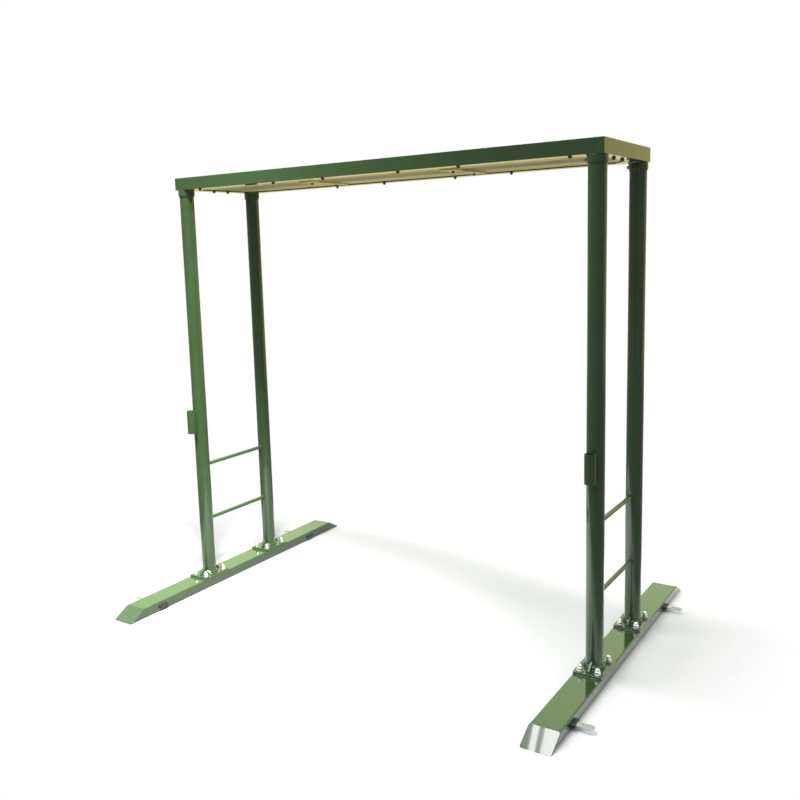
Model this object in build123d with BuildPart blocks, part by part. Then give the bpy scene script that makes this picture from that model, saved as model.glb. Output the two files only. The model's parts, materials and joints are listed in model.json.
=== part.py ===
from build123d import *
import os

os.makedirs("parts", exist_ok=True)

# A high balance-beam deck on two steel stands. Millimetres, +Z up. The origin is on the
# ground under the middle of the deck. X runs along the deck, and -Y is the front.

# ---------------------------------------------------------------- driving dimensions
deck_top = 1800.0               # highest edge of the deck rails
post_pitch_x = 1800.0           # between the left and right uprights' axes
post_pitch_y = 420.0            # between the front and rear uprights' axes
post_diameter = 60.0
post_wall = 3.0

foot_width = 100.0              # rectangular tube, lying flat
foot_height = 40.0
foot_wall = 4.0
foot_corner = 5.0               # outside corner radius of the tube
foot_length = 1440.0            # tip to tip, on the ground
bevel_run = 75.0                # length of each sloping end, measured along the ground
end_plate_thickness = 4.0

flange_x = 100.0
flange_y = 150.0
flange_thickness = 8.0
flange_corner = 4.0
base_bolt_x = 60.0              # bolt pattern of each base flange
base_bolt_y = 110.0
base_stud_diameter = 12.0
foot_stud_hole = 13.0
flange_hole_diameter = 14.0
backing_width = 84.0
backing_length = 140.0
backing_thickness = 8.0

collar_diameter = 74.0
collar_height = 12.0
collar_bevel = 4.0
gusset_thickness = 6.0
gusset_reach = 60.0             # from the upright's axis
gusset_height = 26.0
gusset_toe = 5.0

rung_diameter = 16.0
rung_heights = (295.0, 545.0)
sleeve_diameter = 38.0
sleeve_bore = 32.0
sleeve_low = 700.0
sleeve_length = 100.0
sleeve_standoff = 4.0           # weld between the sleeve and its upright
sleeve_weld_width = 14.0

rail_size = 50.0                # equal angle, vertical leg outside, flat leg below
rail_thickness = 5.0
rail_edge_radius = 1.0
deck_overhang = 2.0             # rail face beyond the uprights' outer sides
socket_diameter = 68.0
socket_bore = 60.4
socket_height = 30.0
socket_taper_run = 2.6           # lower rim of the socket, across and up
socket_taper_rise = 9.0
corner_plate_leg = 60.0

plank_thickness = 40.0
centre_plank_width = 130.0
plank_gap = 2.0
plank_end_gap = 1.0
plank_side_gap = 0.5
plank_chamfer = 2.0
cleat_width = 60.0
cleat_length = 260.0
cleat_thickness = 8.0
cleat_x = 320.0                 # cleats stand at plus and minus this

front_bolt_x = (168.0, 412.0, 812.0)
rear_bolt_x = (168.0, 412.0)
end_bolt_inset = 36.0           # from the deck's end
cleat_bolt_y = 83.0
end_bolt_y = 44.0
deck_bolt_diameter = 6.0
deck_bolt_hole = 7.0
deck_bolt_head = 16.0
deck_bolt_head_height = 4.5
deck_bolt_recess = 18.0         # counterbore that keeps the heads below the deck
deck_bolt_recess_depth = 5.0
deck_bolt_tail = 8.0            # shank below the washer's seat
deck_nut_flats = 10.0
deck_nut_height = 5.0
deck_washer_diameter = 14.0
deck_washer_bore = 6.4
deck_washer_thickness = 1.6

base_washer_diameter = 24.0
base_washer_thickness = 2.5
cap_nut_flats = 19.0
cap_nut_hex_height = 10.0
cap_nut_height = 20.0
cap_nut_dome_diameter = 17.2
cap_nut_bore_depth = 15.0
stud_engagement = 13.0          # stud inside the cap nut

anchor_front_y = -540.0
anchor_rear_y = 470.0
anchor_z = 18.0
cross_tube_width = 40.0
cross_tube_height = 10.0
cross_tube_wall = 1.5
guide_width = 46.0
guide_height = 11.0
guide_reach = 12.0              # head of each guide, outside the foot
cap_reach = 6.0                 # head of each end cap, outside the foot
guide_spigot = 10.0             # the part of it inside the cross tube
guide_edge = 2.0
bar_width = 24.0
bar_thickness = 5.0
bar_clearance = 0.08            # each side of the bar in its guide
bar_tip = 118.0                 # from the foot's centre line, at rest
bar_tail = -9.0
bar_head_width = 33.0
bar_head_length = 8.0
stake_slot_width = 9.0
stake_slot_length = 34.0
stake_slot_margin = 8.0         # from the slot to the bar's tip

# ---------------------------------------------------------------- worked-out values
post_radius = post_diameter / 2
post_x = post_pitch_x / 2
post_y = post_pitch_y / 2
foot_half = foot_length / 2
flange_top = foot_height + flange_thickness
deck_bottom = deck_top - rail_size
deck_half_x = post_x + post_radius + deck_overhang
deck_half_y = post_y + post_radius + deck_overhang
plank_low = deck_bottom + rail_thickness
plank_top = plank_low + plank_thickness
bolt_head_seat = plank_top - deck_bolt_recess_depth
cleat_low = plank_low - cleat_thickness
leg_edge_x = deck_half_x - rail_size
leg_edge_y = deck_half_y - rail_size

tray_x = deck_half_x - rail_thickness
tray_y = deck_half_y - rail_thickness
plank_length = 2 * (tray_x - plank_end_gap)
outer_plank_width = tray_y - plank_side_gap - centre_plank_width / 2 - plank_gap
outer_plank_y = centre_plank_width / 2 + plank_gap + outer_plank_width / 2

edge_bolt_y = deck_half_y - rail_size / 2
end_bolt_x = deck_half_x - end_bolt_inset
rail_bolts = [(sx * x, -edge_bolt_y) for x in front_bolt_x for sx in (-1, 1)]
rail_bolts += [(sx * x, edge_bolt_y) for x in rear_bolt_x for sx in (-1, 1)]
rail_bolts += [(sx * end_bolt_x, sy * end_bolt_y) for sx in (-1, 1) for sy in (-1, 1)]
cleat_bolts = [(sx * cleat_x, sy * cleat_bolt_y) for sx in (-1, 1) for sy in (-1, 1)]
bolt_seats = ((rail_bolts, deck_bottom), (cleat_bolts, cleat_low))

sides = (("left", -1), ("right", 1))
ends = (("front", -1), ("rear", 1))
anchor_y = {"front": anchor_front_y, "rear": anchor_rear_y}
posts = [(sx * post_x, sy * post_y) for sx in (-1, 1) for sy in (-1, 1)]
base_bolts = [
    (x + bx * base_bolt_x / 2, y + by * base_bolt_y / 2)
    for x, y in posts
    for bx in (-1, 1)
    for by in (-1, 1)
]


def bevel_plane(end, setback):
    """Plane of a foot's sloping end, facing out, moved into the foot by setback."""
    outward = Vector(0, end * foot_height, bevel_run).normalized()
    tip = Vector(0, end * foot_half, 0)
    return Plane(origin=tip - outward * setback, z_dir=outward)


# ---------------------------------------------------------------- feet
def make_foot(name, side):
    """Rectangular tube with both ends cut on a slope, open for studs and cross tubes."""
    with BuildPart() as foot:
        with BuildSketch(Plane.XZ):
            with Locations((side * post_x, foot_height / 2)):
                RectangleRounded(foot_width, foot_height, foot_corner)
                inside_corner = foot_corner - foot_wall
                RectangleRounded(
                    foot_width - 2 * foot_wall,
                    foot_height - 2 * foot_wall,
                    inside_corner,
                    mode=Mode.SUBTRACT,
                )
        extrude(amount=foot_half, both=True)
        for end in (-1, 1):
            split(bisect_by=bevel_plane(end, end_plate_thickness), keep=Keep.BOTTOM)
        with BuildSketch(Plane.XY.offset(foot_height)):
            with Locations(*base_bolts):
                Circle(foot_stud_hole / 2)
        extrude(amount=-2 * foot_wall, mode=Mode.SUBTRACT)
        with BuildSketch(Plane.YZ.offset(side * post_x - foot_width / 2)):
            with Locations((anchor_front_y, anchor_z), (anchor_rear_y, anchor_z)):
                Rectangle(cross_tube_width, cross_tube_height)
        extrude(amount=foot_width, mode=Mode.SUBTRACT)
    foot.part.label = name
    export_step(foot.part, f"parts/{name}.step")


def make_end_plate(name, side, end):
    """Plate that closes one sloping end, flush with the tube all round."""
    with BuildPart() as plate:
        with BuildSketch(Plane.XZ):
            with Locations((side * post_x, foot_height / 2)):
                RectangleRounded(foot_width, foot_height, foot_corner)
        extrude(amount=foot_half, both=True)
        split(bisect_by=bevel_plane(end, 0), keep=Keep.BOTTOM)
        split(bisect_by=bevel_plane(end, end_plate_thickness), keep=Keep.TOP)
    plate.part.label = name
    export_step(plate.part, f"parts/{name}.step")


def make_base_flange(name, x, y):
    """Flange on top of a foot, with four holes for the studs."""
    with BuildPart() as flange:
        with BuildSketch(Plane.XY.offset(foot_height)):
            with Locations((x, y)):
                RectangleRounded(flange_x, flange_y, flange_corner)
                with GridLocations(base_bolt_x, base_bolt_y, 2, 2):
                    Circle(flange_hole_diameter / 2, mode=Mode.SUBTRACT)
        extrude(amount=flange_thickness)
        top_rim = flange.faces().sort_by(Axis.Z)[-1].outer_wire().edges()
        fillet(top_rim, radius=1.0)
    flange.part.label = name
    export_step(flange.part, f"parts/{name}.step")


for side_name, side in sides:
    make_foot(f"foot_{side_name}", side)
    for end_name, end in ends:
        make_end_plate(f"foot_end_plate_{side_name}_{end_name}", side, end)
        make_base_flange(f"base_flange_{side_name}_{end_name}", side * post_x, end * post_y)

# Plates welded up against the inside of the feet, which hold the studs.
with BuildPart() as backing_plates:
    with BuildSketch(Plane.XY.offset(foot_height - foot_wall)):
        with Locations(*posts):
            Rectangle(backing_width, backing_length)
        with Locations(*base_bolts):
            Circle(base_stud_diameter / 2, mode=Mode.SUBTRACT)
    extrude(amount=-backing_thickness)
backing_plates.part.label = "base_backing_plates"
export_step(backing_plates.part, "parts/base_backing_plates.step")

# Studs, washers and domed cap nuts.
cap_nut_low = flange_top + base_washer_thickness
stud_low = foot_height - foot_wall - backing_thickness

with BuildPart() as studs:
    with BuildSketch(Plane.XY.offset(stud_low)):
        with Locations(*base_bolts):
            Circle(base_stud_diameter / 2)
    extrude(amount=cap_nut_low + stud_engagement - stud_low)
    chamfer(studs.faces().group_by(Axis.Z)[-1].edges(), length=1.0)
studs.part.label = "base_studs"
export_step(studs.part, "parts/base_studs.step")

with BuildPart() as washers:
    with BuildSketch(Plane.XY.offset(flange_top)):
        with Locations(*base_bolts):
            Circle(base_washer_diameter / 2)
            Circle(base_stud_diameter / 2 + 0.5, mode=Mode.SUBTRACT)
    extrude(amount=base_washer_thickness)
washers.part.label = "base_washers"
export_step(washers.part, "parts/base_washers.step")

with BuildPart() as cap_nuts:
    with BuildSketch(Plane.XY.offset(cap_nut_low)):
        with Locations(*base_bolts):
            RegularPolygon(cap_nut_flats / 2, 6, major_radius=False)
    extrude(amount=cap_nut_hex_height)
    chamfer(cap_nuts.faces().group_by(Axis.Z)[-1].edges(), length=0.8)
    with BuildSketch(Plane.XY.offset(cap_nut_low + cap_nut_hex_height)):
        with Locations(*base_bolts):
            Circle(cap_nut_dome_diameter / 2)
    extrude(amount=cap_nut_height - cap_nut_hex_height)
    dome_rims = cap_nuts.faces().group_by(Axis.Z)[-1].edges()
    fillet(dome_rims, radius=cap_nut_dome_diameter / 2 - 0.8)
    with BuildSketch(Plane.XY.offset(cap_nut_low)):
        with Locations(*base_bolts):
            Circle(base_stud_diameter / 2)
    extrude(amount=cap_nut_bore_depth, mode=Mode.SUBTRACT)
cap_nuts.part.label = "base_cap_nuts"
export_step(cap_nuts.part, "parts/base_cap_nuts.step")


# ---------------------------------------------------------------- stands
def make_upright(name, x, y):
    """Round tube from its base flange up to the deck's corner."""
    with BuildPart() as upright:
        with BuildSketch(Plane.XY.offset(flange_top)):
            with Locations((x, y)):
                Circle(post_radius)
                Circle(post_radius - post_wall, mode=Mode.SUBTRACT)
        extrude(amount=deck_bottom - flange_top)
    upright.part.label = name
    export_step(upright.part, f"parts/{name}.step")


def make_rung(name, side, height):
    """Round bar from the front upright to the rear one, coped to fit both."""
    with BuildPart() as rung:
        with BuildSketch(Plane.XZ):
            with Locations((side * post_x, height)):
                Circle(rung_diameter / 2)
        extrude(amount=post_y, both=True)
        with BuildSketch(Plane.XY.offset(height - rung_diameter)):
            with Locations(*posts):
                Circle(post_radius)
        extrude(amount=2 * rung_diameter, mode=Mode.SUBTRACT)
    rung.part.label = name
    export_step(rung.part, f"parts/{name}.step")


def make_sleeve(name, side):
    """Open tube in front of a front upright, with the weld that joins them."""
    x = side * post_x
    y = -post_y - post_radius - sleeve_standoff - sleeve_diameter / 2
    with BuildPart() as sleeve:
        with BuildSketch(Plane.XY.offset(sleeve_low)):
            with Locations((x, y)):
                Circle(sleeve_diameter / 2)
            with Locations((x, -post_y - post_radius)):
                Rectangle(sleeve_weld_width, 4 * sleeve_standoff)
            with Locations((x, y)):
                Circle(sleeve_bore / 2, mode=Mode.SUBTRACT)
            with Locations((x, -post_y)):
                Circle(post_radius, mode=Mode.SUBTRACT)
        extrude(amount=sleeve_length)
    sleeve.part.label = name
    export_step(sleeve.part, f"parts/{name}.step")


def make_gussets(name, side):
    """Triangular plates before and behind each upright, seated on its flange."""
    with BuildPart() as gussets:
        for end in (-1, 1):
            for facing in (-1, 1):
                axis_y = end * post_y
                with BuildSketch(Plane.YZ.offset(side * post_x)):
                    with BuildLine():
                        Polyline(
                            (axis_y, flange_top),
                            (axis_y + facing * gusset_reach, flange_top),
                            (axis_y + facing * gusset_reach, flange_top + gusset_toe),
                            (axis_y + facing * post_radius, flange_top + gusset_height),
                            (axis_y, flange_top + gusset_height),
                            close=True,
                        )
                    make_face()
                extrude(amount=gusset_thickness / 2, both=True)
        with BuildSketch(Plane.XY.offset(flange_top)):
            with Locations(*posts):
                Circle(post_radius)
        extrude(amount=gusset_height, mode=Mode.SUBTRACT)
        with BuildSketch(Plane.XY.offset(flange_top)):
            with Locations(*posts):
                Circle(collar_diameter / 2)
        extrude(amount=collar_height, mode=Mode.SUBTRACT)
    gussets.part.label = name
    export_step(gussets.part, f"parts/{name}.step")


for side_name, side in sides:
    for end_name, end in ends:
        make_upright(f"upright_{side_name}_{end_name}", side * post_x, end * post_y)
    for rung_name, height in zip(("lower", "upper"), rung_heights):
        make_rung(f"rung_{side_name}_{rung_name}", side, height)
    make_sleeve(f"accessory_sleeve_{side_name}", side)
    make_gussets(f"base_gussets_{side_name}", side)

with BuildPart() as collars:
    with BuildSketch(Plane.XY.offset(flange_top)):
        with Locations(*posts):
            Circle(collar_diameter / 2)
            Circle(post_radius, mode=Mode.SUBTRACT)
    extrude(amount=collar_height)
    collar_tops = collars.faces().group_by(Axis.Z)[-1]
    chamfer([top.outer_wire().edges() for top in collar_tops], length=collar_bevel)
collars.part.label = "base_collars"
export_step(collars.part, "parts/base_collars.step")


# ---------------------------------------------------------------- deck frame
def make_rail(name, start, along, inward, length):
    """Equal angle with mitred ends. It starts at an outer corner of the deck."""
    profile_plane = Plane(origin=start, x_dir=inward, z_dir=along)
    with BuildPart() as rail:
        with BuildSketch(profile_plane) as profile:
            with BuildLine():
                Polyline(
                    (0, 0),
                    (rail_size, 0),
                    (rail_size, rail_thickness),
                    (rail_thickness, rail_thickness),
                    (rail_thickness, rail_size),
                    (0, rail_size),
                    close=True,
                )
            make_face()
            fillet(profile.vertices(), radius=rail_edge_radius)
        extrude(amount=length)
        split(bisect_by=Plane(origin=start, z_dir=inward - along), keep=Keep.BOTTOM)
        finish = start + along * length
        split(bisect_by=Plane(origin=finish, z_dir=inward + along), keep=Keep.BOTTOM)
        with BuildSketch(Plane.XY.offset(deck_bottom)):
            with Locations(*rail_bolts):
                Circle(deck_bolt_hole / 2)
        extrude(amount=rail_thickness, mode=Mode.SUBTRACT)
    rail.part.label = name
    export_step(rail.part, f"parts/{name}.step")


front_left = Vector(-deck_half_x, -deck_half_y, deck_bottom)
front_right = Vector(deck_half_x, -deck_half_y, deck_bottom)
rear_right = Vector(deck_half_x, deck_half_y, deck_bottom)
rear_left = Vector(-deck_half_x, deck_half_y, deck_bottom)
to_right = Vector(1, 0, 0)
to_rear = Vector(0, 1, 0)

make_rail("deck_rail_front", front_left, to_right, to_rear, 2 * deck_half_x)
make_rail("deck_rail_right", front_right, to_rear, -to_right, 2 * deck_half_y)
make_rail("deck_rail_rear", rear_right, -to_right, -to_rear, 2 * deck_half_x)
make_rail("deck_rail_left", rear_left, -to_rear, to_right, 2 * deck_half_y)

# Triangles that fill the corners between the rails' flat legs, over the sockets.
with BuildPart() as corner_plates:
    for sx in (-1, 1):
        for sy in (-1, 1):
            with BuildSketch(Plane.XY.offset(deck_bottom)):
                with BuildLine():
                    Polyline(
                        (sx * leg_edge_x, sy * leg_edge_y),
                        (sx * (leg_edge_x - corner_plate_leg), sy * leg_edge_y),
                        (sx * leg_edge_x, sy * (leg_edge_y - corner_plate_leg)),
                        close=True,
                    )
                make_face()
            extrude(amount=rail_thickness)
corner_plates.part.label = "deck_corner_plates"
export_step(corner_plates.part, "parts/deck_corner_plates.step")


def make_top_socket(name, side, end):
    """Ring under a corner of the deck that takes the top of an upright."""
    with BuildPart() as socket:
        with BuildSketch(Plane.XY.offset(deck_bottom - socket_height)):
            with Locations((side * post_x, end * post_y)):
                Circle(socket_diameter / 2)
                Circle(socket_bore / 2, mode=Mode.SUBTRACT)
        extrude(amount=socket_height)
        lower_face = socket.faces().sort_by(Axis.Z)[0]
        lower_rim = lower_face.outer_wire().edges()
        chamfer(lower_rim, length=socket_taper_run, length2=socket_taper_rise, reference=lower_face)
        with BuildSketch(Plane.YZ.offset(side * post_x)):
            with Locations((end * post_y, deck_bottom - socket_height / 2)):
                Circle(deck_bolt_diameter / 2)
        extrude(amount=-side * socket_diameter, mode=Mode.SUBTRACT)
    socket.part.label = name
    export_step(socket.part, f"parts/{name}.step")


for side_name, side in sides:
    for end_name, end in ends:
        make_top_socket(f"top_socket_{side_name}_{end_name}", side, end)

# Set screws through the sockets, facing the middle of the deck.
screw_start = post_radius + 0.3
screw_seat = socket_diameter / 2 + 0.2
screw_head_height = 5.5
with BuildPart() as set_screws:
    for side in (-1, 1):
        screw_places = [(end * post_y, deck_bottom - socket_height / 2) for end in (-1, 1)]
        with BuildSketch(Plane.YZ.offset(side * (post_x - screw_start))):
            with Locations(*screw_places):
                Circle(deck_bolt_diameter / 2)
        extrude(amount=-side * (screw_seat - screw_start))
        with BuildSketch(Plane.YZ.offset(side * (post_x - screw_seat))):
            with Locations(*screw_places):
                RegularPolygon(deck_nut_flats / 2, 6, major_radius=False)
        extrude(amount=-side * screw_head_height)
set_screws.part.label = "socket_set_screws"
export_step(set_screws.part, "parts/socket_set_screws.step")


# ---------------------------------------------------------------- deck timber
def make_plank(name, y, width):
    """Board along the deck, resting on the rails' flat legs."""
    with BuildPart() as plank:
        with BuildSketch(Plane.XY.offset(plank_low)):
            with Locations((0, y)):
                Rectangle(plank_length, width)
        extrude(amount=plank_thickness)
        chamfer(plank.edges().filter_by(Axis.X), length=plank_chamfer)
        with BuildSketch(Plane.XY.offset(plank_low)):
            with Locations(*rail_bolts, *cleat_bolts):
                Circle(deck_bolt_hole / 2)
        extrude(amount=plank_thickness, mode=Mode.SUBTRACT)
        with BuildSketch(Plane.XY.offset(bolt_head_seat)):
            with Locations(*rail_bolts, *cleat_bolts):
                Circle(deck_bolt_recess / 2)
        extrude(amount=deck_bolt_recess_depth, mode=Mode.SUBTRACT)
    plank.part.label = name
    export_step(plank.part, f"parts/{name}.step")


def make_cleat(name, x):
    """Short timber across the underside that holds the centre plank between the others."""
    with BuildPart() as cleat:
        with BuildSketch(Plane.XY.offset(cleat_low)):
            with Locations((x, 0)):
                Rectangle(cleat_width, cleat_length)
        extrude(amount=cleat_thickness)
        chamfer(cleat.faces().sort_by(Axis.Z)[0].edges(), length=1.5)
        with BuildSketch(Plane.XY.offset(cleat_low)):
            with Locations(*cleat_bolts):
                Circle(deck_bolt_hole / 2)
        extrude(amount=cleat_thickness, mode=Mode.SUBTRACT)
    cleat.part.label = name
    export_step(cleat.part, f"parts/{name}.step")


make_plank("plank_front", -outer_plank_y, outer_plank_width)
make_plank("plank_centre", 0, centre_plank_width)
make_plank("plank_rear", outer_plank_y, outer_plank_width)
for side_name, side in sides:
    make_cleat(f"underside_cleat_{side_name}", side * cleat_x)

# Carriage bolts down through the planks, with washers and nuts below.
with BuildPart() as deck_bolts:
    with BuildSketch(Plane.XY.offset(bolt_head_seat)):
        with Locations(*rail_bolts, *cleat_bolts):
            Circle(deck_bolt_head / 2)
    extrude(amount=deck_bolt_head_height)
    fillet(deck_bolts.faces().group_by(Axis.Z)[-1].edges(), radius=deck_bolt_head_height - 0.7)
    for places, seat in bolt_seats:
        with BuildSketch(Plane.XY.offset(bolt_head_seat)):
            with Locations(*places):
                Circle(deck_bolt_diameter / 2)
        extrude(amount=seat - deck_bolt_tail - bolt_head_seat)
deck_bolts.part.label = "deck_bolts"
export_step(deck_bolts.part, "parts/deck_bolts.step")

with BuildPart() as deck_washers:
    for places, seat in bolt_seats:
        with BuildSketch(Plane.XY.offset(seat)):
            with Locations(*places):
                Circle(deck_washer_diameter / 2)
                Circle(deck_washer_bore / 2, mode=Mode.SUBTRACT)
        extrude(amount=-deck_washer_thickness)
deck_washers.part.label = "deck_washers"
export_step(deck_washers.part, "parts/deck_washers.step")

with BuildPart() as deck_nuts:
    for places, seat in bolt_seats:
        with BuildSketch(Plane.XY.offset(seat - deck_washer_thickness)):
            with Locations(*places):
                RegularPolygon(deck_nut_flats / 2, 6, major_radius=False)
        extrude(amount=-deck_nut_height)
        with BuildSketch(Plane.XY.offset(seat - deck_washer_thickness)):
            with Locations(*places):
                Circle(deck_bolt_diameter / 2)
        extrude(amount=-deck_nut_height, mode=Mode.SUBTRACT)
deck_nuts.part.label = "deck_nuts"
export_step(deck_nuts.part, "parts/deck_nuts.step")


# ---------------------------------------------------------------- ground anchors
spigot_width = cross_tube_width - 2 * cross_tube_wall
spigot_height = cross_tube_height - 2 * cross_tube_wall
anchor_places = [(anchor_y[end_name], anchor_z) for end_name, end in ends]


def make_anchor_plug(name, side, y, facing, slotted):
    """Black block in one end of a cross tube. The outer one is slotted for the bar."""
    face_x = side * post_x + facing * foot_width / 2
    reach = guide_reach if slotted else cap_reach
    with BuildPart() as plug:
        with BuildSketch(Plane.YZ.offset(face_x)):
            with Locations((y, anchor_z)):
                Rectangle(guide_width, guide_height)
        extrude(amount=facing * reach)
        fillet(plug.edges().filter_by(Axis.X), radius=guide_edge)
        with BuildSketch(Plane.YZ.offset(face_x)):
            with Locations((y, anchor_z)):
                Rectangle(spigot_width, spigot_height)
        extrude(amount=-facing * guide_spigot)
        if slotted:
            with BuildSketch(Plane.YZ.offset(face_x - facing * guide_spigot)):
                with Locations((y, anchor_z)):
                    Rectangle(bar_width + 2 * bar_clearance, bar_thickness + 2 * bar_clearance)
            extrude(amount=facing * (guide_spigot + guide_reach), mode=Mode.SUBTRACT)
    plug.part.label = name
    export_step(plug.part, f"parts/{name}.step")


def make_anchor_bar(name, side, y):
    """Flat bar with a round tip, a slot for a ground stake and a wide head inside."""
    centre_x = side * post_x
    bar_length = bar_tip - bar_tail
    slot_centre = bar_tip - stake_slot_margin - stake_slot_length / 2
    with BuildPart() as bar:
        with BuildSketch(Plane.XY.offset(anchor_z - bar_thickness / 2)) as outline:
            with Locations((centre_x + side * (bar_tip + bar_tail) / 2, y)):
                Rectangle(bar_length, bar_width)
            tip_corners = outline.vertices().sort_by(Axis.X)[-2:]
            if side < 0:
                tip_corners = outline.vertices().sort_by(Axis.X)[:2]
            fillet(tip_corners, radius=bar_width / 2 - 1)
            with Locations((centre_x + side * (bar_tail + bar_head_length / 2), y)):
                Rectangle(bar_head_length, bar_head_width)
            with Locations((centre_x + side * slot_centre, y)):
                SlotOverall(stake_slot_length, stake_slot_width, mode=Mode.SUBTRACT)
        extrude(amount=bar_thickness)
    bar.part.label = name
    export_step(bar.part, f"parts/{name}.step")


for side_name, side in sides:
    with BuildPart() as cross_tubes:
        with BuildSketch(Plane.YZ.offset(side * post_x - foot_width / 2)):
            with Locations(*anchor_places):
                Rectangle(cross_tube_width, cross_tube_height)
                Rectangle(spigot_width, spigot_height, mode=Mode.SUBTRACT)
        extrude(amount=foot_width)
    cross_tubes.part.label = f"anchor_cross_tubes_{side_name}"
    export_step(cross_tubes.part, f"parts/anchor_cross_tubes_{side_name}.step")
    for end_name, y in anchor_y.items():
        make_anchor_plug(f"anchor_guide_{side_name}_{end_name}", side, y, side, True)
        make_anchor_plug(f"anchor_end_cap_{side_name}_{end_name}", side, y, -side, False)
        make_anchor_bar(f"anchor_bar_{side_name}_{end_name}", side, y)
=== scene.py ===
import json
import math
import random

import bpy
from mathutils import Matrix, Vector


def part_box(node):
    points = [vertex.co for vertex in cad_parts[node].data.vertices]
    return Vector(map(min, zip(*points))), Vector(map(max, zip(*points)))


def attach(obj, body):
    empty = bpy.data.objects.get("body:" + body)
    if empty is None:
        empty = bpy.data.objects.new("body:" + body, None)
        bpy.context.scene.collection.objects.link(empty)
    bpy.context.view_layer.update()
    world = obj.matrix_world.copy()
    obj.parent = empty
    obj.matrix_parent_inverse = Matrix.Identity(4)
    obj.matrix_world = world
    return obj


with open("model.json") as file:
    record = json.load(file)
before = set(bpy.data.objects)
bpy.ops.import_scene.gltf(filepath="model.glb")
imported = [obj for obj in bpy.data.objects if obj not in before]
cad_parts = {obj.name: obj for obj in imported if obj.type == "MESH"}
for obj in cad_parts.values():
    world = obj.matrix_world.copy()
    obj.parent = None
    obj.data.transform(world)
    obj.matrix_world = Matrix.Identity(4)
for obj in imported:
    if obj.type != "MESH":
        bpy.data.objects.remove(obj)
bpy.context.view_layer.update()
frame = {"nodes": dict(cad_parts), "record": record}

STAND = "stand_and_deck"
SIDES = ("left", "right")
ENDS = ("front", "rear")
GREEN = "green_paint"


# ------------------------------------------------------------------ node helpers
def plug(tree, socket, value):
    """Links a socket or sets a constant on it."""
    if isinstance(value, bpy.types.NodeSocket):
        tree.links.new(value, socket)
    else:
        socket.default_value = value


def add(tree, kind, inputs=None, out=0, **settings):
    """Adds one shader node and returns one of its outputs."""
    item = tree.nodes.new("ShaderNode" + kind)
    for key, value in settings.items():
        setattr(item, key, value)
    for key, value in (inputs or {}).items():
        plug(tree, item.inputs[key], value)
    return item.outputs[out]


def noise(tree, vector, scale, detail=3.0, rough=0.5, distortion=0.0):
    return add(tree, "TexNoise", {"Vector": vector, "Scale": scale, "Detail": detail,
                                  "Roughness": rough, "Distortion": distortion})


def calc(tree, operation, a, b=0.0, c=0.0, clamp=False):
    return add(tree, "Math", {0: a, 1: b, 2: c}, operation=operation, use_clamp=clamp)


def remap(tree, value, low, high, to_low=0.0, to_high=1.0, smooth=False):
    kind = "SMOOTHSTEP" if smooth else "LINEAR"
    return add(tree, "MapRange", {0: value, 1: low, 2: high, 3: to_low, 4: to_high},
               interpolation_type=kind)


def mix(tree, factor, a, b, blend="MIX"):
    return add(tree, "Mix", {0: factor, 6: a, 7: b}, out=2, data_type="RGBA", blend_type=blend)


def rgb(red, green, blue):
    return (red, green, blue, 1.0)


def stretch(tree, vector, scale, shift=(0.0, 0.0, 0.0)):
    return add(tree, "Mapping", {"Vector": vector, "Scale": scale, "Location": shift})


def bump(tree, height, strength, distance, normal=None):
    inputs = {"Height": height, "Strength": strength, "Distance": distance}
    if normal is not None:
        inputs["Normal"] = normal
    return add(tree, "Bump", inputs)


def start_material(name):
    material = bpy.data.materials.new(name)
    material.use_nodes = True
    tree = material.node_tree
    tree.nodes.clear()
    coords = add(tree, "TexCoord", out=3)
    return material, tree, coords


def end_material(tree, **inputs):
    """Principled surface. Names with underscores stand for the socket names with spaces."""
    shader = tree.nodes.new("ShaderNodeBsdfPrincipled")
    for key, value in inputs.items():
        plug(tree, shader.inputs[key.replace("_", " ")], value)
    output = tree.nodes.new("ShaderNodeOutputMaterial")
    tree.links.new(shader.outputs[0], output.inputs[0])


def edge_mask(tree, radius):
    """(rounded normal, 0 to 1 mask of the edges)."""
    rounded = add(tree, "Bevel", {"Radius": radius}, samples=4)
    flat = add(tree, "NewGeometry", out=1)
    facing = add(tree, "VectorMath", {0: rounded, 1: flat}, out=1, operation="DOT_PRODUCT")
    return rounded, remap(tree, facing, 0.985, 0.86)


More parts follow.
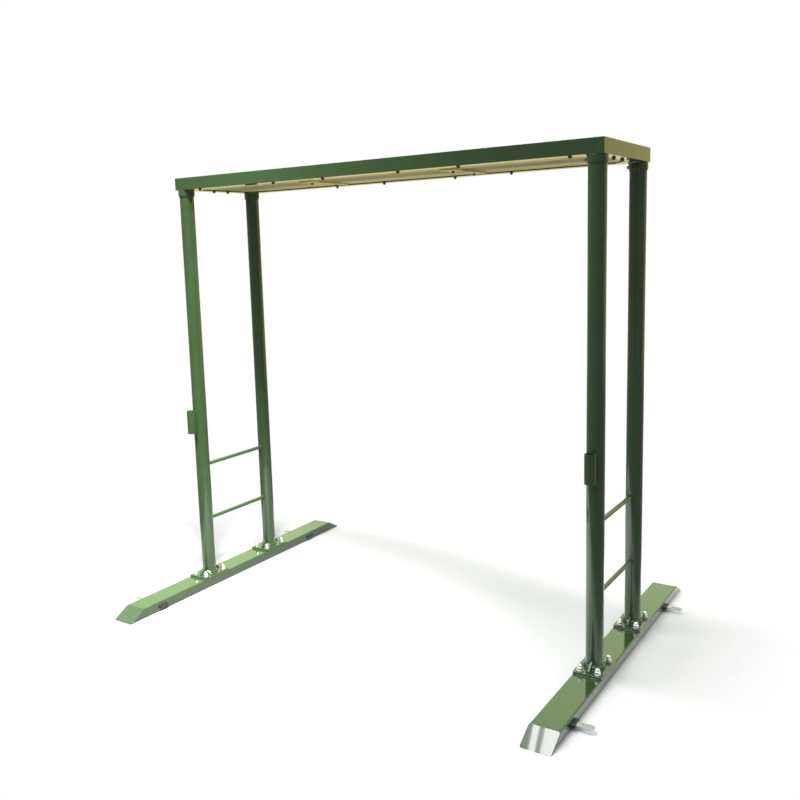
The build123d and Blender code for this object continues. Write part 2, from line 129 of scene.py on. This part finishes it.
# ------------------------------------------------------------------ materials
def make_enamel(name, scuffed, smoothest=0.07, coat=0.03):
    """Green enamel: orange peel, cloudy gloss, a painted highlight on every edge, worn edges, and
    scuffs where feet go.
    """
    material, tree, co = start_material(name)
    tone = noise(tree, co, 1.7, 3.0)
    cloud = noise(tree, co, 16.0, 6.0, 0.6)
    colour = mix(tree, remap(tree, tone, 0.35, 0.65), rgb(0.020, 0.044, 0.0140),
                 rgb(0.028, 0.057, 0.019))
    colour = mix(tree, remap(tree, cloud, 0.42, 0.75, 0.0, 0.3), colour, rgb(0.036, 0.074, 0.026))
    up = add(tree, "SeparateXYZ", {0: add(tree, "NewGeometry", out=1)}, out=2)
    dust = calc(tree, "MULTIPLY", remap(tree, up, 0.6, 0.95),
                remap(tree, noise(tree, co, 55.0, 8.0, 0.7), 0.45, 0.8))
    colour = mix(tree, calc(tree, "MULTIPLY", dust, 0.05), colour, rgb(0.20, 0.21, 0.15))
    rounded, edges = edge_mask(tree, 0.0016)
    chips = remap(tree, noise(tree, co, 260.0, 4.0, 0.7), 0.56, 0.64)
    worn = calc(tree, "MULTIPLY", edges, chips)
    # Painted highlight: a lighter green along every edge.
    colour = mix(tree, calc(tree, "MULTIPLY", edges, 0.25), colour, rgb(0.045, 0.09, 0.03))
    colour = mix(tree, calc(tree, "MULTIPLY", worn, 0.4), colour, rgb(0.10, 0.13, 0.08))
    rough = remap(tree, cloud, 0.3, 0.75, smoothest, smoothest + 0.11)
    rough = calc(tree, "ADD", rough, calc(tree, "MULTIPLY", dust, 0.08))
    if scuffed:
        streaks = noise(tree, stretch(tree, co, (420.0, 26.0, 260.0)), 1.0, 4.0, 0.6, 0.4)
        patches = remap(tree, noise(tree, co, 7.0, 3.0), 0.5, 0.66)
        scuff = calc(tree, "MULTIPLY", remap(tree, streaks, 0.62, 0.7), patches)
        colour = mix(tree, calc(tree, "MULTIPLY", scuff, 0.3), colour, rgb(0.10, 0.14, 0.08))
        rough = calc(tree, "ADD", rough, calc(tree, "MULTIPLY", scuff, 0.25))
    peel = bump(tree, noise(tree, co, 240.0, 2.0, 0.4), 0.10, 0.0004, rounded)
    sag = bump(tree, noise(tree, co, 28.0, 2.0, 0.4), 0.12, 0.0012, peel)
    end_material(tree, Base_Color=colour, Roughness=rough, Normal=sag,
                 Specular_IOR_Level=0.22, Coat_Weight=1.0, Coat_Roughness=coat, Coat_IOR=1.5)
    return material


def make_timber(name, seed, pale, dark, knots=()):
    """Softwood sawn along X, with growth rings, pores, knots at (x, y, radius), and up-facing faces
    darkened, part trodden wear and part painted shade.
    """
    material, tree, co = start_material(name)
    axes = tree.nodes.new("ShaderNodeSeparateXYZ")
    plug(tree, axes.inputs[0], co)
    x, y, z = axes.outputs
    warp = remap(tree, noise(tree, stretch(tree, co, (1.3, 9.0, 9.0), (seed, 0, 0)), 1.0, 3.0),
                 0.0, 1.0, -0.5, 0.5)
    knot_core = None
    for knot_x, knot_y, radius in knots:
        dx = calc(tree, "DIVIDE", calc(tree, "SUBTRACT", x, knot_x), radius * 2.4)
        dy = calc(tree, "DIVIDE", calc(tree, "SUBTRACT", y, knot_y), radius)
        far = calc(tree, "SQRT", calc(tree, "ADD", calc(tree, "MULTIPLY", dx, dx),
                                      calc(tree, "MULTIPLY", dy, dy)))
        pull = calc(tree, "EXPONENT", calc(tree, "MULTIPLY", far, -0.9))
        warp = calc(tree, "ADD", warp, calc(tree, "MULTIPLY", pull, 0.55))
        core = remap(tree, far, 0.9, 0.25, smooth=True)
        knot_core = core if knot_core is None else calc(tree, "MAXIMUM", knot_core, core)
    across = calc(tree, "ADD", calc(tree, "MULTIPLY", y, 1.0), calc(tree, "MULTIPLY", z, 0.55))
    phase = calc(tree, "ADD", calc(tree, "MULTIPLY", across, 520.0),
                 calc(tree, "MULTIPLY", warp, 26.0))
    rings = remap(tree, calc(tree, "SINE", phase), -0.4, 1.0, smooth=True)
    grain = noise(tree, stretch(tree, co, (9.0, 700.0, 700.0), (seed, seed, 0)), 1.0, 4.0, 0.6)
    pores = noise(tree, stretch(tree, co, (40.0, 1900.0, 1900.0), (0, seed, 0)), 1.0, 2.0)
    blotch = noise(tree, stretch(tree, co, (2.2, 11.0, 11.0), (seed * 2, 0, 0)), 1.0, 4.0, 0.6)
    colour = mix(tree, calc(tree, "MULTIPLY", rings, 0.62), pale, dark)
    colour = mix(tree, remap(tree, grain, 0.45, 0.75, 0.0, 0.45), colour, dark)
    colour = mix(tree, remap(tree, pores, 0.6, 0.75, 0.0, 0.35), colour, rgb(0.12, 0.08, 0.03))
    colour = mix(tree, remap(tree, blotch, 0.5, 0.75, 0.0, 0.6), colour, rgb(0.20, 0.165, 0.07))
    if knot_core is not None:
        colour = mix(tree, calc(tree, "MULTIPLY", knot_core, 0.85), colour, rgb(0.085, 0.045, 0.018))
    # Painted shade and trodden wear: up-facing faces are darkened, so the deck's top doesn't glare
    # under the lamps.
    up = add(tree, "SeparateXYZ", {0: add(tree, "NewGeometry", out=1)}, out=2)
    trodden_and_painted_shade = remap(tree, noise(tree, co, 6.0, 6.0, 0.7), 0.3, 0.7, 0.65, 0.95)
    trodden_and_painted_shade = calc(tree, "MULTIPLY", trodden_and_painted_shade, remap(tree, up, 0.6, 0.95))
    colour = mix(tree, trodden_and_painted_shade, colour, rgb(0.34, 0.31, 0.27), "MULTIPLY")
    rounded, edges = edge_mask(tree, 0.0012)
    colour = mix(tree, calc(tree, "MULTIPLY", edges, 0.3), colour, rgb(0.30, 0.24, 0.12))
    height = calc(tree, "ADD", calc(tree, "MULTIPLY", rings, 0.5), grain)
    relief = bump(tree, height, 0.35, 0.0006, rounded)
    end_material(tree, Base_Color=colour, Roughness=remap(tree, grain, 0.3, 0.7, 0.42, 0.66),
                 Normal=relief, Specular_IOR_Level=0.4)
    return material


def make_metal(name, light, dark, rough_low, rough_high, spangle, stain):
    """Plated or galvanised steel: crystals, fine brushing, and grime in blotches."""
    material, tree, co = start_material(name)
    cells = add(tree, "TexVoronoi", {"Vector": co, "Scale": spangle}, out=1)
    shade = add(tree, "SeparateColor", {0: cells}, out=0)
    cloud = noise(tree, co, 60.0, 6.0, 0.65)
    colour = mix(tree, calc(tree, "MULTIPLY", shade, 0.4), light, dark)
    colour = mix(tree, remap(tree, cloud, 0.5, 0.78, 0.0, 0.55), colour, stain)
    brushed = noise(tree, stretch(tree, co, (90.0, 1500.0, 700.0)), 1.0, 3.0)
    rough = calc(tree, "ADD", remap(tree, shade, 0.0, 1.0, rough_low, rough_high),
                 remap(tree, cloud, 0.4, 0.8, 0.0, 0.15))
    rounded, edges = edge_mask(tree, 0.0008)
    colour = mix(tree, calc(tree, "MULTIPLY", edges, 0.5), colour, light)
    relief = bump(tree, brushed, 0.12, 0.0003, rounded)
    end_material(tree, Base_Color=colour, Metallic=1.0, Roughness=rough, Normal=relief)
    return material


def make_nylon(name):
    """Moulded black nylon: fine sparkle texture, scuffed grey on the edges."""
    material, tree, co = start_material(name)
    fine = noise(tree, co, 1400.0, 2.0)
    cloud = noise(tree, co, 45.0, 5.0, 0.6)
    rounded, edges = edge_mask(tree, 0.0010)
    colour = mix(tree, remap(tree, cloud, 0.35, 0.75), rgb(0.010, 0.010, 0.011),
                 rgb(0.022, 0.022, 0.021))
    scuffs = remap(tree, noise(tree, stretch(tree, co, (60.0, 500.0, 500.0)), 1.0, 4.0), 0.6, 0.7)
    wear = calc(tree, "MAXIMUM", calc(tree, "MULTIPLY", edges, 0.5),
                calc(tree, "MULTIPLY", scuffs, 0.35))
    colour = mix(tree, wear, colour, rgb(0.075, 0.075, 0.072))
    end_material(tree, Base_Color=colour, Roughness=remap(tree, cloud, 0.3, 0.8, 0.34, 0.52),
                 Normal=bump(tree, fine, 0.25, 0.0002, rounded), Specular_IOR_Level=0.5)
    return material


enamel = make_enamel("enamel_green", False)
enamel_scuffed = make_enamel("enamel_green_scuffed", True)
enamel_satin = make_enamel("enamel_green_satin", False, smoothest=0.4, coat=0.35)
bright_zinc = make_metal("zinc_bright", rgb(0.93, 0.93, 0.89), rgb(0.72, 0.73, 0.70),
                         0.22, 0.36, 700.0, rgb(0.55, 0.53, 0.44))
anchor_zinc = make_metal("zinc_dull", rgb(0.66, 0.67, 0.66), rgb(0.42, 0.43, 0.43),
                         0.30, 0.46, 260.0, rgb(0.33, 0.31, 0.27))
dark_steel = make_metal("steel_black_oiled", rgb(0.16, 0.155, 0.15), rgb(0.07, 0.07, 0.068),
                        0.32, 0.46, 900.0, rgb(0.11, 0.065, 0.035))
nylon = make_nylon("nylon_black")
PALE = rgb(0.80, 0.74, 0.31)
HONEY = rgb(0.33, 0.27, 0.09)
OCHRE = rgb(0.44, 0.38, 0.14)
TAN = rgb(0.19, 0.15, 0.055)
timber_front = make_timber("timber_front", 3.1, PALE, HONEY,
                           ((-0.62, -0.17, 0.011), (0.11, -0.12, 0.008), (0.55, -0.20, 0.010)))
timber_centre = make_timber("timber_centre", 17.7, OCHRE, TAN,
                            ((0.70, -0.03, 0.016), (-0.21, 0.025, 0.010), (-0.74, -0.02, 0.008)))
timber_rear = make_timber("timber_rear", 41.3, PALE, HONEY,
                          ((-0.38, 0.14, 0.010), (0.27, 0.19, 0.012), (0.83, 0.11, 0.007)))
timber_cleat = make_timber("timber_cleat", 63.9, PALE, HONEY)


def dress(node_name, material):
    """Gives a carried-over CAD node its material."""
    item = frame["nodes"][node_name]
    for slot in item.material_slots:
        slot.material = material


MATERIAL_OF = {"bright_zinc": bright_zinc, "anchor_zinc": anchor_zinc, "dark_steel": dark_steel,
               "black_nylon": nylon, GREEN: enamel, "timber": timber_cleat}
for part in frame["record"]["subparts"]:
    dress(part["node"], MATERIAL_OF[part["material_slot"]])
for node_name in frame["nodes"]:
    if node_name.startswith(("foot_", "base_flange", "rung_", "accessory_sleeve")):
        dress(node_name, enamel_scuffed)
for side in SIDES:
    dress(f"base_gussets_{side}", enamel_satin)
dress("plank_front", timber_front)
dress("plank_centre", timber_centre)
dress("plank_rear", timber_rear)


# ------------------------------------------------------------------ swept meshes
RIPPLE_PITCH = 0.0034
POINTS_PER_RIPPLE = 4


class Sweep:
    """Collects round beads and threads, each swept along a path, into one mesh."""

    def __init__(self, seed):
        self.verts = []
        self.faces = []
        self.random = random.Random(seed)

    def tube(self, path, radii, closed, sides=8):
        start = len(self.verts)
        count = len(path)
        last = count - 1
        normal = None
        for index, centre in enumerate(path):
            before = path[index - 1] if closed or index else path[0]
            after = path[(index + 1) % count] if closed or index < last else path[last]
            along = (after - before).normalized()
            if normal is None:
                normal = along.orthogonal().normalized()
            normal = (normal - along * normal.dot(along)).normalized()
            side = along.cross(normal)
            for step in range(sides):
                angle = 2 * math.pi * step / sides
                offset = normal * math.cos(angle) + side * math.sin(angle)
                self.verts.append(centre + offset * radii[index])
        for index in range(count if closed else last):
            here = start + index * sides
            there = start + ((index + 1) % count) * sides
            for step in range(sides):
                turn = (step + 1) % sides
                self.faces.append((here + step, here + turn, there + turn, there + step))
        if not closed:
            self.faces.append(tuple(start + step for step in range(sides))[::-1])
            self.faces.append(tuple(start + last * sides + step for step in range(sides)))

    def bead(self, path, radius, closed=False, pitch=RIPPLE_PITCH):
        """Weld bead: overlapping ripples, a little uneven, tapering at open ends."""
        dense = resample(path, closed, pitch / POINTS_PER_RIPPLE)
        count = len(dense)
        radii = []
        drift = self.random.uniform(0, 6.28)
        for index in range(count):
            sway = 0.9 * math.sin(drift + index / 9.0)
            ripple = 0.5 + 0.5 * math.sin(2 * math.pi * index / POINTS_PER_RIPPLE + sway)
            size = radius * (0.86 + 0.16 * ripple + self.random.uniform(-0.02, 0.02))
            if not closed:
                inset = min(index, count - 1 - index) / 5.0
                size *= min(1.0, 0.45 + 0.55 * inset)
            radii.append(size)
        self.tube(dense, radii, closed)

    def finish(self, name, material, body=STAND):
        mesh = bpy.data.meshes.new(name)
        mesh.from_pydata([tuple(v) for v in self.verts], [], self.faces)
        mesh.validate()
        mesh.shade_smooth()
        mesh.materials.append(material)
        piece = bpy.data.objects.new(name, mesh)
        bpy.context.scene.collection.objects.link(piece)
        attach(piece, body)
        return piece


def resample(path, closed, spacing):
    """Points at an even spacing along a path of straight runs."""
    runs = list(zip(path, path[1:] + path[:1])) if closed else list(zip(path, path[1:]))
    total = sum((b - a).length for a, b in runs)
    steps = max(6, int(total / spacing))
    if closed:
        steps -= steps % POINTS_PER_RIPPLE
    wanted = [total * i / steps for i in range(steps if closed else steps + 1)]
    points = []
    travelled = 0.0
    run = 0
    for distance in wanted:
        while run < len(runs) - 1 and distance > travelled + (runs[run][1] - runs[run][0]).length:
            travelled += (runs[run][1] - runs[run][0]).length
            run += 1
        a, b = runs[run]
        share = (distance - travelled) / max((b - a).length, 1e-9)
        points.append(a.lerp(b, min(max(share, 0.0), 1.0)))
    return points


def ring(centre, radius, steps=72):
    """Points of a level circle."""
    points = []
    for step in range(steps):
        angle = 2 * math.pi * step / steps
        points.append(centre + Vector((radius * math.cos(angle), radius * math.sin(angle), 0)))
    return points


# ------------------------------------------------------------------ places read from the frame
def middle(node_name):
    low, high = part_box(node_name)
    return (Vector(low) + Vector(high)) / 2


def half_width(node_name, axis):
    low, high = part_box(node_name)
    return (high[axis] - low[axis]) / 2


FOOT_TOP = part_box("base_flange_left_front")[0][2]
FLANGE_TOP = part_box("base_flange_left_front")[1][2]
FLANGE_HALF_X = half_width("base_flange_left_front", 0)
FLANGE_HALF_Y = half_width("base_flange_left_front", 1)
POST_RADIUS = half_width("upright_left_front", 0)
COLLAR_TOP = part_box("base_collars")[1][2]
COLLAR_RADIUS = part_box("base_collars")[1][0] - middle("upright_right_front")[0]
GUSSET_HALF = half_width("base_gussets_right", 0)
GUSSET_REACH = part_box("base_gussets_right")[1][1] - middle("upright_right_rear")[1]
SOCKET_RADIUS = half_width("top_socket_left_front", 0)
DECK_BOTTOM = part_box("top_socket_left_front")[1][2]
DECK_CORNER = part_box("deck_rail_right")[1]


# ------------------------------------------------------------------ weld beads
COLLAR_BEAD = 0.0030
FLANGE_BEAD = 0.0026
GUSSET_BEAD = 0.0014
FLANGE_EDGE_BEAD = 0.0028
FLANGE_FLANK_BEAD = 0.0022
SOCKET_BEAD = 0.0026
RUNG_BEAD = 0.0024
SLEEVE_BEAD = 0.0026
CORNER_BEAD = 0.0009
CORNER_PITCH = 0.0028
EDGE_INSET = 0.006              # a flange's end bead stops this far from its corners
FLANK_INSET = 0.004             # and its side beads this far
FLANK_TUCK = (0.0012, 0.0008)   # side beads sit this far in and down, inside the foot's width
COLLAR_GAP = 0.0007             # the collar's bead runs this far outside the post
GUSSET_ENDS = (0.002, 0.001)    # a gusset's bead starts and stops this far inside its ends
RUNG_GAP = 0.0003               # a rung's bead runs this far outside the bar
RUNG_LIFT = 0.0004              # and this far off the post
SOCKET_ARC = (-35, 160)         # first angle and sweep, in degrees
SOCKET_STEPS = 48
SLEEVE_SEAM_X = 0.0072          # each side of the line where sleeve and post meet
SLEEVE_LIFT = 0.0008            # the sleeve's seams stand this far off the post
SLEEVE_INSET = 0.002            # and stop this far from its ends
CORNER_SINK = 0.0006            # a corner's seam lies this far inside the frame's corner
CORNER_INSET = 0.0015           # and stops this far from its ends


def weld_base(side, end):
    """Beads at an upright's foot: post to collar, collar, gussets, and flange to foot tube."""
    axis = middle(f"upright_{side}_{end}")
    welds = Sweep(f"{side}{end}")

    def place(x, y, z):
        return Vector((axis[0] + x, axis[1] + y, z))

    welds.bead(ring(place(0, 0, COLLAR_TOP), POST_RADIUS + COLLAR_GAP), COLLAR_BEAD, True)
    welds.bead(ring(place(0, 0, FLANGE_TOP), COLLAR_RADIUS), FLANGE_BEAD, True)
    for facing in (-1, 1):
        near = facing * (COLLAR_RADIUS + GUSSET_ENDS[0])
        far = facing * (GUSSET_REACH - GUSSET_ENDS[1])
        for cheek in (-1, 1):
            x = cheek * GUSSET_HALF
            welds.bead([place(x, near, FLANGE_TOP), place(x, far, FLANGE_TOP)], GUSSET_BEAD)
        edge_x = FLANGE_HALF_X - EDGE_INSET
        edge_y = facing * FLANGE_HALF_Y
        welds.bead([place(-edge_x, edge_y, FOOT_TOP), place(edge_x, edge_y, FOOT_TOP)],
                   FLANGE_EDGE_BEAD)
        flank_x = facing * (FLANGE_HALF_X - FLANK_TUCK[0])
        flank_y = FLANGE_HALF_Y - FLANK_INSET
        flank_z = FOOT_TOP - FLANK_TUCK[1]
        welds.bead([place(flank_x, -flank_y, flank_z), place(flank_x, flank_y, flank_z)],
                   FLANGE_FLANK_BEAD)
    welds.finish(f"weld_beads_base_{side}_{end}", enamel)


def weld_socket(side, end):
    """Bead round the side of a top socket that faces the deck's middle."""
    axis = middle(f"upright_{side}_{end}")
    inward_x = -1 if axis[0] > 0 else 1
    inward_y = -1 if axis[1] > 0 else 1
    first, sweep = SOCKET_ARC
    arc = []
    for step in range(SOCKET_STEPS + 1):
        angle = math.radians(first + sweep * step / SOCKET_STEPS)
        arc.append(Vector((axis[0] + inward_x * SOCKET_RADIUS * math.cos(angle),
                           axis[1] + inward_y * SOCKET_RADIUS * math.sin(angle), DECK_BOTTOM)))
    welds = Sweep(f"top{side}{end}")
    welds.bead(arc, SOCKET_BEAD)
    welds.finish(f"weld_beads_socket_{side}_{end}", enamel)


def rung_saddle(rung, post, steps=40):
    """The closed line where a rung meets the round post beside it."""
    radius = half_width(rung, 2) + RUNG_GAP
    centre = middle(rung)
    inward = 1 if post[1] < 0 else -1
    points = []
    for step in range(steps):
        angle = 2 * math.pi * step / steps
        x = radius * math.cos(angle)
        depth = math.sqrt(POST_RADIUS ** 2 - x ** 2) + RUNG_LIFT
        points.append(Vector((centre[0] + x, post[1] + inward * depth,
                              centre[2] + radius * math.sin(angle))))
    return points


def weld_rungs():
    welds = Sweep("rungs")
    for side in SIDES:
        for level in ("lower", "upper"):
            for end in ENDS:
                post = middle(f"upright_{side}_{end}")
                welds.bead(rung_saddle(f"rung_{side}_{level}", post), RUNG_BEAD, True)
    welds.finish("weld_beads_rungs", enamel)


def weld_sleeves():
    """Two upright seams between each accessory sleeve and its post."""
    welds = Sweep("sleeves")
    for side in SIDES:
        low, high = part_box(f"accessory_sleeve_{side}")
        post = middle(f"upright_{side}_front")
        y = post[1] - math.sqrt(POST_RADIUS ** 2 - SLEEVE_SEAM_X ** 2) - SLEEVE_LIFT
        for cheek in (-1, 1):
            x = post[0] + cheek * SLEEVE_SEAM_X
            welds.bead([Vector((x, y, low[2] + SLEEVE_INSET)),
                        Vector((x, y, high[2] - SLEEVE_INSET))], SLEEVE_BEAD)
    welds.finish("weld_beads_sleeves", enamel)


def weld_corners():
    """A fine upright seam on each outer corner of the deck's frame."""
    welds = Sweep("corners")
    for side_x in (-1, 1):
        for side_y in (-1, 1):
            x = side_x * (DECK_CORNER[0] - CORNER_SINK)
            y = side_y * (DECK_CORNER[1] - CORNER_SINK)
            welds.bead([Vector((x, y, DECK_BOTTOM + CORNER_INSET)),
                        Vector((x, y, DECK_CORNER[2] - CORNER_INSET))],
                       CORNER_BEAD, pitch=CORNER_PITCH)
    welds.finish("weld_beads_corners", enamel)


for side in SIDES:
    for end in ENDS:
        weld_base(side, end)
        weld_socket(side, end)
weld_rungs()
weld_sleeves()
weld_corners()


# ------------------------------------------------------------------ threads on the bolt tails
THREAD_PITCH = 0.00125
THREAD_RADIUS = 0.00042
THREAD_TURNS = 0.9
THREAD_STEPS = 20               # to a turn
THREAD_START = 0.0005           # above the bolt's tip
BELOW_NUT = DECK_BOTTOM - 0.0075
TAIL_SPREAD = 0.012             # points nearer than this are on the same bolt


def bolt_tails():
    """The points of each bolt that show below its nut, one list for a bolt."""
    bolts = frame["nodes"]["deck_bolts"]
    tails = []
    for vertex in bolts.data.vertices:
        point = bolts.matrix_world @ vertex.co
        if point.z >= BELOW_NUT:
            continue
        for tail in tails:
            if (tail[0] - point).length < TAIL_SPREAD:
                tail.append(point)
                break
        else:
            tails.append([point])
    return tails


def thread_deck_bolts():
    threads = Sweep("threads")
    for points in bolt_tails():
        xs = [point.x for point in points]
        ys = [point.y for point in points]
        tip = min(point.z for point in points)
        centre_x = (min(xs) + max(xs)) / 2
        centre_y = (min(ys) + max(ys)) / 2
        radius = (max(xs) - min(xs)) / 2
        path = []
        for step in range(int(THREAD_TURNS * THREAD_STEPS) + 1):
            angle = 2 * math.pi * step / THREAD_STEPS
            path.append(Vector((centre_x + radius * math.cos(angle),
                                centre_y + radius * math.sin(angle),
                                tip + THREAD_START + THREAD_PITCH * step / THREAD_STEPS)))
        threads.tube(path, [THREAD_RADIUS] * len(path), False, sides=5)
    threads.finish("deck_bolt_threads", dark_steel)


thread_deck_bolts()


# ------------------------------------------------------------------ stage
FLOOR_RADIUS = 4.6
FLOOR_SIDES = 72


def make_floor_paper():
    """Matt paper that fades out before the floor's edge, greyer towards the left as painted shade
    where the key spot shines, and paler behind as painted light over the deck's shadow.
    """
    material, tree, co = start_material("floor_paper")
    reach = add(tree, "VectorMath", {0: stretch(tree, co, (0.68, 0.84, 1.0))}, out=1,
                operation="LENGTH")
    axes = tree.nodes.new("ShaderNodeSeparateXYZ")
    plug(tree, axes.inputs[0], co)
    x, y, _ = axes.outputs
    # Painted shade and light: the floor is darker where the key spot lights it on the left, and
    # paler behind, where the deck's shadow falls.
    painted_light_balance = remap(tree, x, -0.7, 0.9, 0.0, 0.60, smooth=True)
    painted_light_balance = calc(tree, "ADD", painted_light_balance, remap(tree, y, 0.3, 0.9, smooth=True), clamp=True)
    tint = mix(tree, painted_light_balance, rgb(0.28, 0.28, 0.29), rgb(0.86, 0.86, 0.88))
    shown = calc(tree, "MULTIPLY", remap(tree, reach, 1.35, 0.92, smooth=True),
                 calc(tree, "MULTIPLY", remap(tree, x, 1.5, 1.02, smooth=True),
                      remap(tree, y, 1.2, 0.78, smooth=True)))
    end_material(tree, Base_Color=tint, Roughness=1.0, Specular_IOR_Level=0.0, Alpha=shown)
    return material


def make_floor():
    mesh = bpy.data.meshes.new("floor")
    rim = []
    for step in range(FLOOR_SIDES):
        angle = 2 * math.pi * step / FLOOR_SIDES
        rim.append((FLOOR_RADIUS * math.cos(angle), FLOOR_RADIUS * math.sin(angle), 0.0))
    mesh.from_pydata(rim, [], [tuple(range(FLOOR_SIDES))])
    mesh.materials.append(make_floor_paper())
    floor = bpy.data.objects.new("floor", mesh)
    bpy.context.scene.collection.objects.link(floor)


def make_room_light(tree):
    """Colour of the room: pale ceiling, a green glow behind, and warm bands near the horizon."""
    axes = tree.nodes.new("ShaderNodeSeparateXYZ")
    plug(tree, axes.inputs[0], add(tree, "TexCoord", out=0))
    x, y, height = axes.outputs
    sky = mix(tree, remap(tree, height, 0.45, 0.80, smooth=True), rgb(0.28, 0.28, 0.28),
              rgb(1.6, 1.6, 1.6))
    backward = remap(tree, y, 0.15, 0.6, smooth=True)
    glow_height = calc(tree, "MULTIPLY", remap(tree, height, 0.20, 0.32, smooth=True),
                       remap(tree, height, 0.75, 0.50, smooth=True))
    glow = calc(tree, "MULTIPLY", backward, glow_height)
    sky = mix(tree, glow, sky, rgb(1.08, 1.36, 0.76))
    above = calc(tree, "MULTIPLY", remap(tree, height, 0.24, 0.16, smooth=True),
                 remap(tree, height, -0.02, 0.02, smooth=True))
    above = calc(tree, "MULTIPLY", above, remap(tree, x, 0.0, 0.2, smooth=True))
    below = calc(tree, "MULTIPLY", remap(tree, height, -0.18, -0.12, smooth=True),
                 remap(tree, height, 0.02, -0.02, smooth=True))
    sky = mix(tree, calc(tree, "MULTIPLY", backward, above), sky, rgb(0.66, 0.60, 0.25))
    return mix(tree, calc(tree, "MULTIPLY", backward, below), sky, rgb(0.72, 0.66, 0.34))


def make_world():
    """The room lights the object, and its background is plain white."""
    world = bpy.data.worlds.new("studio")
    bpy.context.scene.world = world
    world.use_nodes = True
    tree = world.node_tree
    tree.nodes.clear()
    room = add(tree, "Background", {0: make_room_light(tree)})
    backdrop = add(tree, "Background", {0: rgb(1.0, 1.0, 1.0)})
    seen_directly = add(tree, "LightPath")
    surface = add(tree, "MixShader", {0: seen_directly, 1: room, 2: backdrop})
    output = tree.nodes.new("ShaderNodeOutputWorld")
    tree.links.new(surface, output.inputs[0])


def aim_light(lamp, place, target):
    """Puts a lamp in the scene, turned towards a point."""
    holder = bpy.data.objects.new(lamp.name, lamp)
    holder.location = place
    holder.rotation_euler = (Vector(target) - Vector(place)).to_track_quat("-Z", "Y").to_euler()
    bpy.context.scene.collection.objects.link(holder)


def add_softbox(name, x, width, watts):
    """White softbox overhead, facing straight down, long from front to back."""
    lamp = bpy.data.lights.new(name, "AREA")
    lamp.shape = "RECTANGLE"
    lamp.size = width
    lamp.size_y = 2.2
    lamp.energy = watts
    aim_light(lamp, (x, -1.35, 3.9), (x, -1.35, 0))


def add_key_spot():
    """Spot from the front right onto the left stand."""
    lamp = bpy.data.lights.new("key_spot", "SPOT")
    lamp.energy = 5000.0
    lamp.color = (1.0, 1.0, 0.93)
    lamp.spot_size = math.radians(38)
    lamp.spot_blend = 1.0
    lamp.shadow_soft_size = 0.35
    aim_light(lamp, (0.5, -1.7, 4.9), (-1.0, -0.75, 0.0))


make_floor()
make_world()
add_softbox("overhead_left", -1.55, 1.2, 62)
add_softbox("overhead_strip", -0.522, 0.05, 4.8)
add_softbox("overhead_right", -0.007, 0.9, 76)
add_key_spot()


# ------------------------------------------------------------------ camera
CAMERA_PLACE = (1.8583, -2.9482, 1.4875)
PITCH, ROLL, YAW = -0.1473, -0.0326, 0.597
SENSOR_MM = 36.0
LENS_MM = 39.337
SHIFT = (0.0424, -0.02949)


def add_camera():
    """Camera at the photo's place, with its small roll and off-centre crop."""
    forward = Vector((-math.sin(YAW) * math.cos(PITCH), math.cos(YAW) * math.cos(PITCH),
                      math.sin(PITCH)))
    level = Vector((math.cos(YAW), math.sin(YAW), 0.0))
    upright = level.cross(forward)
    right = level * math.cos(ROLL) + upright * math.sin(ROLL)
    over = upright * math.cos(ROLL) - level * math.sin(ROLL)
    data = bpy.data.cameras.new("camera")
    data.sensor_width = SENSOR_MM
    data.lens = LENS_MM
    data.shift_x, data.shift_y = SHIFT
    camera = bpy.data.objects.new("camera", data)
    turn = Matrix((right, over, -forward)).transposed().to_4x4()
    camera.matrix_world = Matrix.Translation(CAMERA_PLACE) @ turn
    bpy.context.scene.collection.objects.link(camera)
    bpy.context.scene.camera = camera


add_camera()
bpy.context.scene.view_settings.view_transform = "Standard"
